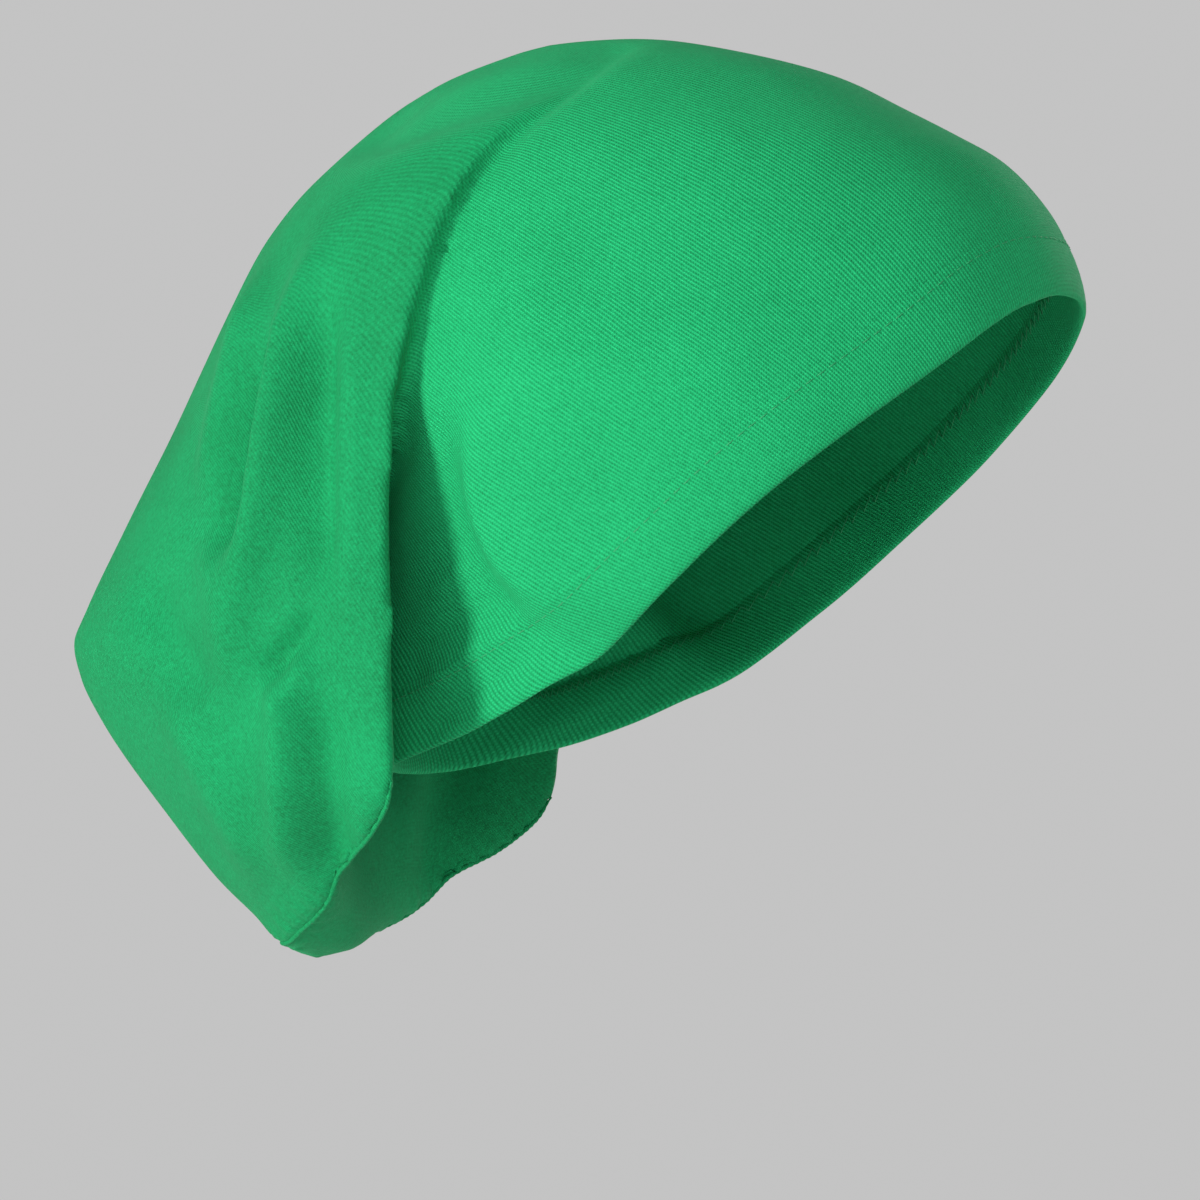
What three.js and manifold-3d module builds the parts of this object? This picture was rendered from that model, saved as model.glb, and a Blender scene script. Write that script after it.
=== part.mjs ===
// Underscarf cap: a knit tube with a folded hem round the face, drawn over the head, whose sewn
// end hangs behind the neck as a loose, flattened bag.
// Millimetres, +X towards the face, +Y to the wearer's left, +Z up. The origin is the top of the
// head hollow, under the crown.

import * as THREE from 'three';
import { mergeVertices } from 'three/addons/utils/BufferGeometryUtils.js';
import Module from 'manifold-3d';

const wasm = await Module();
wasm.setup();

// Cloth
const clothWall = 1.6;
const hemWidth = 16;
const hemThickness = 2.7;
const seamRadius = 1.0;
const seamStandOff = 0.6;
const pieceGap = 0.3;

// Head part, outside the cloth
const foreheadReach = 119;
const skullReach = 80;
const headWidth = 150;
const headDepth = 184;
const earRise = 7;

// Bag, outside the cloth
const kneeReach = 145;
const bagWidth = 148;
const bagDrop = 230;
const bagCorner = 6;
const foldRise = 3.2;

// Mesh steps
const headSides = 40;
const stepsPerRow = 2;
const frontSteps = 4;
const cornerSteps = 2;
const sideSteps = 10;
const seamArcs = 3;
const seamSteps = 32;

// Section table of the head part, crown to nape. down is a share of headDepth, front of
// foreheadReach, back of skullReach and half of half the headWidth.
const headRows = table('down front back half', [
  [0.000, 0.03, -0.03, 0.000],
  [0.008, 0.14, 0.21, 0.195],
  [0.030, 0.31, 0.40, 0.365],
  [0.062, 0.48, 0.585, 0.520],
  [0.104, 0.61, 0.715, 0.650],
  [0.142, 0.722, 0.800, 0.740],
  [0.177, 0.815, 0.855, 0.805],
  [0.222, 0.885, 0.915, 0.870],
  [0.270, 0.935, 0.955, 0.922],
  [0.350, 0.980, 1.000, 0.980],
  [0.445, 1.00, 1.010, 1.000],
  [0.552, 0.985, 0.985, 0.975],
  [0.688, 0.94, 0.910, 0.905],
  [0.825, 0.87, 0.820, 0.810],
  [1.000, 0.80, 0.725, 0.680],
  [1.060, 0.78, 0.700, 0.640],
]);
const headBroadest = 0.456;
const headFrontPower = 2.3;
const headBackPower = 2.2;

// Raised pad over each ear: place and radii in side view. ahead and reach are shares of
// foreheadReach, down and rise of headDepth.
const earPad = { ahead: 0.09, down: 0.620, reach: 0.27, below: 0.205, above: 0.24, forward: 0.62 };
const padFlat = 0.70;
const padFoot = 1.18;
const padEase = 0.25;

// Section table of the bag, crown to end. down is a share of bagDrop, half of half the bagWidth,
// soft of bagCorner; edge is where the side panel turns into the front wall, wall is the middle of
// the front wall and back the rear midline, all shares of kneeReach behind the origin.
const bagRows = table('down edge half back wall soft', [
  [0.0035, 0.030, 0.000, 0.030, 0.030, 0.0],
  [0.0100, 0.015, 0.115, 0.152, -0.055, 0.2],
  [0.0180, -0.020, 0.225, 0.206, -0.070, 0.3],
  [0.0330, -0.050, 0.360, 0.280, -0.080, 0.4],
  [0.0635, -0.010, 0.590, 0.377, -0.030, 0.4],
  [0.129, 0.082, 0.815, 0.511, 0.130, 0.5],
  [0.211, 0.150, 0.945, 0.631, 0.255, 0.6],
  [0.350, 0.205, 1.015, 0.752, 0.380, 0.8],
  [0.437, 0.225, 1.020, 0.823, 0.470, 1.0],
  [0.529, 0.225, 1.010, 0.904, 0.560, 1.0],
  [0.616, 0.224, 1.000, 0.975, 0.547, 1.0],
  [0.653, 0.224, 0.993, 1.000, 0.535, 1.0],
  [0.690, 0.226, 0.985, 0.986, 0.520, 1.0],
  [0.738, 0.228, 0.970, 0.943, 0.503, 1.0],
  [0.820, 0.240, 0.905, 0.847, 0.478, 0.9],
  [0.916, 0.378, 0.620, 0.723, 0.460, 0.8],
  [0.955, 0.460, 0.460, 0.655, 0.458, 0.7],
  [0.985, 0.550, 0.270, 0.606, 0.478, 0.3],
  [1.000, 0.550, 0.000, 0.550, 0.550, 0.0],
]);
const panelBulge = 1.8;
const panelRound = 0.69;
const panelArc = 1.08;
const panelCrowd = 1.35;
const cornerLimit = 1 / 3;
const cornerSamples = [-1, -0.5, 0, 0.5, 1];
const seamStartRow = 14;
const seamEndRow = 17;
const seamStride = 3;
const seamDip = 0.5;

// Soft folds of the bag's side panels, from one end to the other in side view. x is a share of
// kneeReach behind the origin, down of bagDrop, breadth of kneeReach and rise of foldRise.
const foldEase = 0.2;
const panelStart = 0.25;
const panelFull = 0.5;
const foldRows = table('x1 down1 x2 down2 breadth rise', [
  [0.425, 0.27, 0.535, 0.62, 0.045, 0.9],
  [0.575, 0.28, 0.620, 0.50, 0.045, 0.5],
  [0.510, 0.30, 0.560, 0.52, 0.040, -0.6],
  [0.405, 0.32, 0.420, 0.58, 0.035, -0.7],
  [0.360, 0.34, 0.350, 0.90, 0.045, -0.6],
  [0.520, 0.62, 0.470, 0.71, 0.035, -0.8],
  [0.450, 0.66, 0.490, 0.88, 0.040, 0.7],
  [0.690, 0.74, 0.610, 0.84, 0.050, 0.6],
]);

// Hem line round the face in side view, forehead to nape: x is a share of foreheadReach, down of
// headDepth.
const hemRows = table('x down', [
  [1.10, 0.380],
  [1.00, 0.365],
  [0.95, 0.388],
  [0.83, 0.467],
  [0.64, 0.572],
  [0.47, 0.662],
  [0.28, 0.768],
  [0.10, 0.874],
  [-0.01, 0.902],
  [-0.12, 0.930],
  [-0.25, 0.962],
  [-0.38, 0.982],
  [-0.50, 1.000],
  [-0.62, 1.015],
]);
const hemSteps = 3;
const hemSlopeReach = 0.5;

function table(names, rows) {
  const columns = names.split(' ');
  return rows.map((row) => Object.fromEntries(columns.map((name, i) => [name, row[i]])));
}

// A column's value at place s between the rows, on a smooth curve that never overshoots them
function between(rows, column, s) {
  const last = rows.length - 1;
  const i = Math.min(Math.floor(s), last - 1);
  const t = s - i;
  const rise = (k) => rows[k + 1][column] - rows[k][column];
  const slope = (k) => {
    if (k === 0) return rise(0);
    if (k === last) return rise(last - 1);
    const before = rise(k - 1);
    const after = rise(k);
    return before * after > 0 ? (2 * before * after) / (before + after) : 0;
  };
  const h01 = t * t * (3 - 2 * t);
  const h10 = t * (1 - t) * (1 - t);
  const h11 = t * t * (t - 1);
  return rows[i][column] + h01 * rise(i) + h10 * slope(i) + h11 * slope(i + 1);
}

function smoothStep(low, high, value) {
  const t = Math.min(Math.max((value - low) / (high - low), 0), 1);
  return t * t * (3 - 2 * t);
}

// Closed geometry through rings listed from top to bottom, with one point at each end
function loft(rings, top, bottom) {
  const sides = rings[0].length;
  const points = [top, ...rings.flat(), bottom];
  const at = (ring, j) => 1 + ring * sides + (j % sides);
  const faces = [];
  for (let j = 0; j < sides; j += 1) {
    faces.push(0, at(0, j), at(0, j + 1));
    for (let ring = 0; ring < rings.length - 1; ring += 1) {
      faces.push(at(ring, j), at(ring + 1, j), at(ring + 1, j + 1));
      faces.push(at(ring, j), at(ring + 1, j + 1), at(ring, j + 1));
    }
    faces.push(points.length - 1, at(rings.length - 1, j + 1), at(rings.length - 1, j));
  }
  const geometry = new THREE.BufferGeometry();
  geometry.setAttribute('position', new THREE.Float32BufferAttribute(points.flat(), 3));
  geometry.setIndex(faces);
  return geometry;
}

// The same geometry with each point moved along its normal by a distance or a function of place
function pushed(geometry, distance) {
  const moved = geometry.clone();
  moved.computeVertexNormals();
  const place = moved.attributes.position;
  const normal = moved.attributes.normal;
  const point = new THREE.Vector3();
  const outward = new THREE.Vector3();
  for (let i = 0; i < place.count; i += 1) {
    point.fromBufferAttribute(place, i);
    outward.fromBufferAttribute(normal, i);
    point.addScaledVector(outward, typeof distance === 'function' ? distance(point) : distance);
    place.setXYZ(i, point.x, point.y, point.z);
  }
  moved.deleteAttribute('normal');
  return moved;
}

function earPadRise(x, z) {
  const across = x - earPad.ahead * foreheadReach;
  const up = z - (clothWall - earPad.down * headDepth);
  const reach = (across < 0 ? earPad.reach : earPad.forward) * foreheadReach;
  const rise = (up < 0 ? earPad.below : earPad.above) * headDepth;
  const away = Math.hypot(across / reach, up / rise);
  return earRise * (1 - smoothStep(padFlat, padFoot, away));
}

function headRing(s) {
  const z = clothWall - between(headRows, 'down', s) * headDepth;
  const front = between(headRows, 'front', s) * foreheadReach;
  const back = -between(headRows, 'back', s) * skullReach;
  const half = (between(headRows, 'half', s) * headWidth) / 2;
  const broadest = back + (front - back) * headBroadest;
  const ring = [];
  for (let j = 0; j < headSides; j += 1) {
    const angle = (2 * Math.PI * j) / headSides;
    const c = Math.cos(angle);
    const d = Math.sin(angle);
    const power = 2 / (c > 0 ? headFrontPower : headBackPower);
    const length = c > 0 ? front - broadest : broadest - back;
    const x = broadest + Math.sign(c) * length * Math.abs(c) ** power;
    const y = Math.sign(d) * half * Math.abs(d) ** power;
    ring.push([x, y + Math.sign(d) * Math.abs(d) ** padEase * earPadRise(x, z), z]);
  }
  return ring;
}

function headForm() {
  const rings = [];
  const last = headRows.length - 1;
  for (let i = 1; i <= last * stepsPerRow; i += 1) rings.push(headRing(i / stepsPerRow));
  const middle = -headRows[0].back * skullReach;
  const floor = clothWall - headRows[last].down * headDepth;
  return loft(rings, [middle, 0, clothWall], [0, 0, floor]);
}

// Half of a bag section as a path from the middle of the front wall, round the edge, to the back
function bagPath(row) {
  const frontLength = Math.hypot(row.half, row.edge - row.wall);
  const sideLength = panelArc * Math.hypot(row.half, row.edge - row.back);
  const length = frontLength + sideLength;
  const sharp = (u) => {
    if (u < 0) return mirrored(sharp(-u));
    if (u > length) return mirrored(sharp(2 * length - u));
    if (u < frontLength) {
      const k = u / frontLength;
      return [row.wall + (row.edge - row.wall) * k * k, row.half * k];
    }
    const t = 1 - Math.max(1 - (u - frontLength) / sideLength, 0) ** panelCrowd;
    const y = row.half * Math.max(1 - t ** panelBulge, 0) ** panelRound;
    return [row.edge + (row.back - row.edge) * t, y];
  };
  const soft = Math.min(row.soft, frontLength * cornerLimit);
  const point = (u) => {
    const near = cornerSamples.map((k) => sharp(u + k * soft));
    return [0, 1].map((axis) => near.reduce((sum, p) => sum + p[axis], 0) / near.length);
  };
  const stops = [[0, frontSteps], [frontLength - soft, cornerSteps], [frontLength + soft, sideSteps],
    [length, 0]];
  return { point, stops };
}

function mirrored([x, y]) {
  return [x, -y];
}

function bagRing(s) {
  const z = clothWall - between(bagRows, 'down', s) * bagDrop;
  const { point, stops } = bagPath({
    edge: -between(bagRows, 'edge', s) * kneeReach,
    wall: -between(bagRows, 'wall', s) * kneeReach,
    back: -between(bagRows, 'back', s) * kneeReach,
    half: (between(bagRows, 'half', s) * bagWidth) / 2,
    soft: between(bagRows, 'soft', s) * bagCorner,
  });
  const left = [];
  for (let i = 0; i < stops.length - 1; i += 1) {
    const [from, steps] = stops[i];
    const to = stops[i + 1][0];
    for (let k = 0; k < steps; k += 1) left.push(point(from + ((to - from) * k) / steps));
  }
  left.push(point(stops.at(-1)[0]));
  const right = left.slice(1, -1).reverse().map(mirrored);
  return [...left, ...right].map(([x, y]) => [x, y, z]);
}

// How far the soft folds move the side panel out or in, at a point
function foldDepth(point) {
  const behind = -point.x / kneeReach;
  const down = (clothWall - point.z) / bagDrop;
  const shape = bagDrop / kneeReach;
  let depth = 0;
  for (const fold of foldRows) {
    const alongX = fold.x2 - fold.x1;
    const alongZ = (fold.down2 - fold.down1) * shape;
    const toX = behind - fold.x1;
    const toZ = (down - fold.down1) * shape;
    const length = Math.hypot(alongX, alongZ);
    const k = (toX * alongX + toZ * alongZ) / (length * length);
    const away = Math.abs(toX * alongZ - toZ * alongX) / length / fold.breadth;
    const ends = smoothStep(-foldEase, foldEase, k) * (1 - smoothStep(1 - foldEase, 1 + foldEase, k));
    depth += fold.rise * ends * Math.exp(-away * away);
  }
  const onPanel = smoothStep(panelStart, panelFull, Math.abs(point.y) / (bagWidth / 2));
  return foldRise * depth * onPanel;
}

function bagForm() {
  const rings = [];
  const last = bagRows.length - 1;
  for (let i = 1; i < last * stepsPerRow; i += 1) rings.push(bagRing(i / stepsPerRow));
  const end = (row) => [-row.back * kneeReach, 0, clothWall - row.down * bagDrop];
  return pushed(loft(rings, end(bagRows[0]), end(bagRows[last])), foldDepth);
}

// Hem line moved up the head by a distance, as points in side view
function hemLine(distance) {
  const points = [];
  const last = hemRows.length - 1;
  const place = (s) => new THREE.Vector2(
    between(hemRows, 'x', s) * foreheadReach,
    clothWall - between(hemRows, 'down', s) * headDepth,
  );
  for (let i = 0; i <= last * hemSteps; i += 1) {
    const s = i / hemSteps;
    const before = place(Math.max(s - hemSlopeReach, 0));
    const after = place(Math.min(s + hemSlopeReach, last));
    const across = after.sub(before).normalize();
    points.push(place(s).add(new THREE.Vector2(across.y, -across.x).multiplyScalar(distance)));
  }
  return points;
}

// Everything in front of and below the hem line moved up by a distance
function faceSpace(distance) {
  const line = hemLine(distance);
  const beyond = 2 * (headDepth + foreheadReach);
  const outline = new THREE.Shape([
    new THREE.Vector2(beyond, line[0].y),
    ...line,
    new THREE.Vector2(line.at(-1).x - beyond, line.at(-1).y - beyond),
    new THREE.Vector2(beyond, -beyond),
  ]);
  const block = new THREE.ExtrudeGeometry(outline, { depth: 2 * headWidth, bevelEnabled: false });
  block.rotateX(Math.PI / 2);
  block.translate(0, headWidth, 0);
  return block;
}

function solidOf(geometry) {
  const bare = geometry.clone();
  bare.deleteAttribute('normal');
  bare.deleteAttribute('uv');
  const merged = mergeVertices(bare);
  return new wasm.Manifold(new wasm.Mesh({
    numProp: 3,
    vertProperties: new Float32Array(merged.attributes.position.array),
    triVerts: new Uint32Array(merged.index.array),
  }));
}

function geometryOf(solid) {
  const { vertProperties, triVerts } = solid.getMesh();
  const geometry = new THREE.BufferGeometry();
  geometry.setAttribute('position', new THREE.Float32BufferAttribute(vertProperties, 3));
  geometry.setIndex(Array.from(triVerts));
  const flat = geometry.toNonIndexed();
  flat.computeVertexNormals();
  return flat;
}

// Line of the end seam: the bag's edge from the left side round the bottom to the right side,
// moved off the cloth by a distance
function seamLine(distance) {
  const left = [];
  const last = seamEndRow * stepsPerRow;
  const corner = frontSteps + cornerSteps / 2;
  const back = frontSteps + cornerSteps + sideSteps;
  const addPoint = (ring, at) => {
    const edge = new THREE.Vector3(...ring[at]);
    const inside = new THREE.Vector3(...ring[at - 1]).add(new THREE.Vector3(...ring[at + 1]));
    const outward = edge.clone().sub(inside.multiplyScalar(1 / 2));
    outward.z = -outward.length() * seamDip;
    left.push(edge.addScaledVector(outward.normalize(), distance));
  };
  for (let i = seamStartRow * stepsPerRow; i < last; i += 1) addPoint(bagRing(i / stepsPerRow), corner);
  for (let at = corner; at < back; at += seamStride) addPoint(bagRing(last / stepsPerRow), at);
  const right = left.slice().reverse().map((p) => new THREE.Vector3(p.x, -p.y, p.z));
  return new THREE.CatmullRomCurve3([...left, ...right], false, 'centripetal');
}

function seamRib(radius, overrun) {
  const section = new THREE.Shape();
  section.absarc(0, 0, radius, 0, 2 * Math.PI);
  const line = seamLine(seamStandOff);
  if (overrun > 0) {
    const ends = [line.points[0], line.points.at(-1)];
    const steps = [line.getTangent(0).negate(), line.getTangent(1)];
    line.points.unshift(ends[0].clone().addScaledVector(steps[0], overrun));
    line.points.push(ends[1].clone().addScaledVector(steps[1], overrun));
  }
  return new THREE.ExtrudeGeometry(section, {
    extrudePath: line, steps: seamSteps, curveSegments: seamArcs, bevelEnabled: false,
  });
}

function named(geometry, name, material) {
  const mesh = new THREE.Mesh(geometry, material);
  mesh.name = name;
  return mesh;
}

const jersey = new THREE.MeshStandardMaterial({ color: 0x1fa85c, roughness: 0.75, metalness: 0 });
const thread = new THREE.MeshStandardMaterial({ color: 0x1b9a54, roughness: 0.6, metalness: 0 });

const headOuter = headForm();
const headInner = solidOf(pushed(headOuter, -clothWall));
const bagOuter = bagForm();
const bagInner = solidOf(pushed(bagOuter, -clothWall));

const headOpen = solidOf(headOuter).subtract(solidOf(faceSpace(hemWidth)));
const seamGroove = solidOf(seamRib(seamRadius + pieceGap, 2 * pieceGap));
const body = headOpen.add(solidOf(bagOuter)).subtract(headInner).subtract(bagInner)
  .subtract(seamGroove);

const hemOuter = solidOf(pushed(headOuter, hemThickness - clothWall));
const hemStrip = solidOf(faceSpace(hemWidth - pieceGap)).subtract(solidOf(faceSpace(0)));
const hem = hemOuter.subtract(headInner).intersect(hemStrip);

const cap = new THREE.Group();
cap.add(named(geometryOf(body), 'cap_body', jersey));
cap.add(named(geometryOf(hem), 'hem_band', jersey));
cap.add(named(seamRib(seamRadius, 0), 'end_seam', thread));

export default cap;
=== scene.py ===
# Underscarf cap in green jersey, worn shape with no wearer: a taut head part, a loose bag behind,
# a folded hem round the face and a sewn end. Forms are worked out in millimetres and built in
# metres, +X towards the face, +Y to the wearer's left, +Z up, origin under the crown.

import math

import bpy
import numpy as np
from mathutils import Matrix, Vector, noise
from mathutils.bvhtree import BVHTree


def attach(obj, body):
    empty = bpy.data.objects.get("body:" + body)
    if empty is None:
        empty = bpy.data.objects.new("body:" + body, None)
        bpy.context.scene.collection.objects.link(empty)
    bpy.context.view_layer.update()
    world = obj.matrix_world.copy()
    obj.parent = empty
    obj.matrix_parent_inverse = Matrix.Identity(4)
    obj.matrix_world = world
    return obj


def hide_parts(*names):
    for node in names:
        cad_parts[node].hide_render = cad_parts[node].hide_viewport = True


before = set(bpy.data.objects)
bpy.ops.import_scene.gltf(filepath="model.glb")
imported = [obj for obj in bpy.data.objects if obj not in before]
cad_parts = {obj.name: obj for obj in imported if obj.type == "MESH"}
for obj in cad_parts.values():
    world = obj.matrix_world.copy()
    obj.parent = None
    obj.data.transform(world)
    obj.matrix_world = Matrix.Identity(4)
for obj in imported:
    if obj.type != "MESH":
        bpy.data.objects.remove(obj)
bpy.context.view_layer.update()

MM = 0.001

# Camera: the photograph's side view, turned a little towards the face and from slightly below
CAMERA_TURN = 17.0
CAMERA_RISE = -3.0
CAMERA_DISTANCE = 2400.0
VIEW_WIDTH = 300.0
CAMERA_AIM = (-5.2, 0.0, -139.0)
SENSOR = 36.0
CLIP_END = 200

# Sizes of the cap, outside the cloth
CLOTH_TOP = 1.6
CLOTH = 1.1
FOREHEAD_REACH = 119.0
SKULL_REACH = 80.0
HEAD_WIDTH = 150.0
HEAD_DEPTH = 184.0
EAR_RISE = 7.0
KNEE_REACH = 145.0
BAG_WIDTH = 148.0
BAG_DROP = 230.0
BAG_CORNER = 6.0
FOLD_RISE = 8.0
HEM_WIDTH = 16.0

# Fineness of the forms: rings for each table row, steps round the head, and steps along the front
# wall, rounded edge and side panel of half a bag section
ROW_STEPS = 10
HEAD_SIDES = 200
BAG_STEPS = (36, 14, 80)
VOXEL = 2.0
SOFTEN_FACTOR, SOFTEN_ROUNDS = 0.5, 3

# Section table of the head part, crown to nape, as shares of the sizes above
HEAD_COLUMNS = "down front back half"
HEAD_ROWS = (
    (0.000, 0.03, -0.03, 0.000),
    (0.008, 0.14, 0.21, 0.195),
    (0.030, 0.31, 0.40, 0.365),
    (0.062, 0.48, 0.585, 0.520),
    (0.104, 0.61, 0.715, 0.650),
    (0.142, 0.722, 0.800, 0.740),
    (0.177, 0.815, 0.855, 0.805),
    (0.222, 0.885, 0.915, 0.870),
    (0.270, 0.935, 0.955, 0.922),
    (0.350, 0.980, 1.000, 0.980),
    (0.445, 1.00, 1.010, 1.000),
    (0.552, 0.985, 0.985, 0.975),
    (0.688, 0.94, 0.910, 0.905),
    (0.825, 0.87, 0.820, 0.810),
    (1.000, 0.80, 0.725, 0.680),
    (1.060, 0.78, 0.700, 0.640),
)
HEAD_BROADEST = 0.456
HEAD_FRONT_POWER = 2.3
HEAD_BACK_POWER = 2.2

# Raised pad over each ear in side view, as shares of FOREHEAD_REACH and HEAD_DEPTH
PAD_AHEAD, PAD_DOWN = 0.09, 0.620
PAD_REACH, PAD_FORWARD = 0.27, 0.62
PAD_BELOW, PAD_ABOVE = 0.205, 0.24
PAD_FLAT, PAD_FOOT, PAD_EASE = 0.48, 1.36, 0.25
PAD_RIM_FLAT, PAD_RIM_FOOT = 0.84, 1.09
PAD_RIM_BACK, PAD_RIM_DOWN = 0.8, 0.5
PAD_RIM_START, PAD_RIM_FULL = 0.15, 0.9

# Section table of the bag, crown to end, as shares of the sizes above
BAG_COLUMNS = "down edge half back wall soft"
BAG_ROWS = (
    (0.0035, 0.030, 0.000, 0.030, 0.030, 0.0),
    (0.0100, 0.015, 0.115, 0.152, -0.055, 0.2),
    (0.0180, -0.020, 0.225, 0.206, -0.070, 0.3),
    (0.0330, -0.050, 0.360, 0.280, -0.080, 0.4),
    (0.0635, -0.010, 0.590, 0.377, -0.030, 0.4),
    (0.129, 0.082, 0.815, 0.511, 0.130, 0.5),
    (0.211, 0.150, 0.945, 0.631, 0.255, 0.6),
    (0.350, 0.205, 1.015, 0.752, 0.380, 0.8),
    (0.437, 0.225, 1.020, 0.823, 0.470, 1.0),
    (0.529, 0.225, 1.010, 0.904, 0.560, 1.0),
    (0.616, 0.224, 1.000, 0.975, 0.547, 1.0),
    (0.653, 0.224, 0.993, 1.000, 0.535, 1.0),
    (0.690, 0.226, 0.985, 0.986, 0.520, 1.0),
    (0.738, 0.228, 0.970, 0.943, 0.503, 1.0),
    (0.820, 0.240, 0.905, 0.847, 0.478, 0.9),
    (0.916, 0.378, 0.620, 0.723, 0.460, 0.8),
    (0.955, 0.460, 0.460, 0.655, 0.458, 0.7),
    (0.985, 0.550, 0.270, 0.606, 0.478, 0.3),
    (1.000, 0.550, 0.000, 0.550, 0.550, 0.0),
)
PANEL_BULGE, PANEL_ROUND = 1.8, 0.69
PANEL_ARC, PANEL_CROWD = 1.08, 1.35
# Shares of the edge's softness at which it is sampled, to round it
EDGE_SAMPLES = (-1, -0.75, -0.5, -0.25, 0, 0.25, 0.5, 0.75, 1)
SEAM_START_ROW, SEAM_END_ROW = 14, 17
SEAM_ROW_STEPS = 50

# Hem line round the face in side view, forehead to nape
HEM_COLUMNS = "x down"
HEM_ROWS = (
    (1.10, 0.380),
    (1.00, 0.365),
    (0.95, 0.388),
    (0.83, 0.467),
    (0.64, 0.572),
    (0.47, 0.662),
    (0.28, 0.768),
    (0.10, 0.862),
    (-0.01, 0.895),
    (-0.12, 0.930),
    (-0.25, 0.962),
    (-0.38, 0.982),
    (-0.50, 1.000),
    (-0.62, 1.015),
)
HEM_LINE_STEPS = 240

# Soft folds of the bag's side panels, from one end to the other in side view: x1, down1, x2, down2,
# breadth and rise, as shares of KNEE_REACH, BAG_DROP and FOLD_RISE
BAG_FOLDS = (
    (0.425, 0.27, 0.535, 0.62, 0.040, 0.9),
    (0.575, 0.28, 0.620, 0.50, 0.040, 0.5),
    (0.515, 0.36, 0.565, 0.56, 0.035, -0.7),
    (0.405, 0.31, 0.385, 0.60, 0.045, -0.8),
    (0.320, 0.34, 0.330, 0.62, 0.035, 0.3),
    (0.483, 0.702, 0.395, 0.640, 0.026, -0.5),
    (0.470, 0.735, 0.405, 0.690, 0.030, 0.4),
    (0.450, 0.72, 0.490, 0.90, 0.040, 0.6),
    (0.380, 0.74, 0.405, 0.92, 0.040, -0.6),
    (0.600, 0.56, 0.550, 0.70, 0.045, 0.5),
    (0.700, 0.72, 0.560, 0.90, 0.055, 0.5),
    (0.760, 0.60, 0.640, 0.72, 0.050, -0.5),
)
FOLD_EASE = 0.2
PANEL_START, PANEL_FULL = 0.25, 0.5


def table(names, rows):
    """A table as one array for each named column."""
    return dict(zip(names.split(), np.array(rows, dtype=float).T))


def between(values, place):
    """Values of one table column at places between its rows, on a curve that never overshoots."""
    last = len(values) - 1
    rise = np.diff(values)
    product = rise[:-1] * rise[1:]
    total = np.where(product > 0, rise[:-1] + rise[1:], 1.0)
    slope = np.concatenate(([rise[0]], np.where(product > 0, 2 * product / total, 0.0), [rise[-1]]))
    i = np.clip(np.floor(place).astype(int), 0, last - 1)
    t = place - i
    ease = t * t * (3 - 2 * t)
    start = t * (1 - t) ** 2 * slope[i]
    end = t * t * (t - 1) * slope[i + 1]
    return values[i] + ease * rise[i] + start + end


def smooth_step(low, high, value):
    """Rises from 0 at low to 1 at high."""
    t = np.clip((value - low) / (high - low), 0.0, 1.0)
    return t * t * (3 - 2 * t)


HEAD = table(HEAD_COLUMNS, HEAD_ROWS)
BAG = table(BAG_COLUMNS, BAG_ROWS)
HEM = table(HEM_COLUMNS, HEM_ROWS)


def ear_pad_rise(x, z):
    """How far the pad over the ear stands out at places in side view."""
    across = x - PAD_AHEAD * FOREHEAD_REACH
    up = z - (CLOTH_TOP - PAD_DOWN * HEAD_DEPTH)
    reach = np.where(across < 0, PAD_REACH, PAD_FORWARD) * FOREHEAD_REACH
    rise = np.where(up < 0, PAD_BELOW, PAD_ABOVE) * HEAD_DEPTH
    away = np.hypot(across / reach, up / rise)
    behind = (-PAD_RIM_BACK * across / reach - PAD_RIM_DOWN * up / rise) / np.maximum(away, 1e-6)
    rim = smooth_step(PAD_RIM_START, PAD_RIM_FULL, behind)
    flat = PAD_FLAT + (PAD_RIM_FLAT - PAD_FLAT) * rim
    foot = PAD_FOOT + (PAD_RIM_FOOT - PAD_FOOT) * rim
    return EAR_RISE * (1 - smooth_step(flat, foot, away))


def head_point(place, angle):
    """Points of the head form at table places and angles round the section."""
    z = CLOTH_TOP - between(HEAD["down"], place) * HEAD_DEPTH
    front = between(HEAD["front"], place) * FOREHEAD_REACH
    back = -between(HEAD["back"], place) * SKULL_REACH
    half = between(HEAD["half"], place) * HEAD_WIDTH / 2
    broadest = back + (front - back) * HEAD_BROADEST
    c, d = np.cos(angle), np.sin(angle)
    power = 2 / np.where(c > 0, HEAD_FRONT_POWER, HEAD_BACK_POWER)
    length = np.where(c > 0, front - broadest, broadest - back)
    x = broadest + np.sign(c) * length * np.abs(c) ** power
    y = np.sign(d) * half * np.abs(d) ** power
    y = y + np.sign(d) * np.abs(d) ** PAD_EASE * ear_pad_rise(x, z)
    return np.stack([x, y, z + 0 * x], axis=-1)


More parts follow.
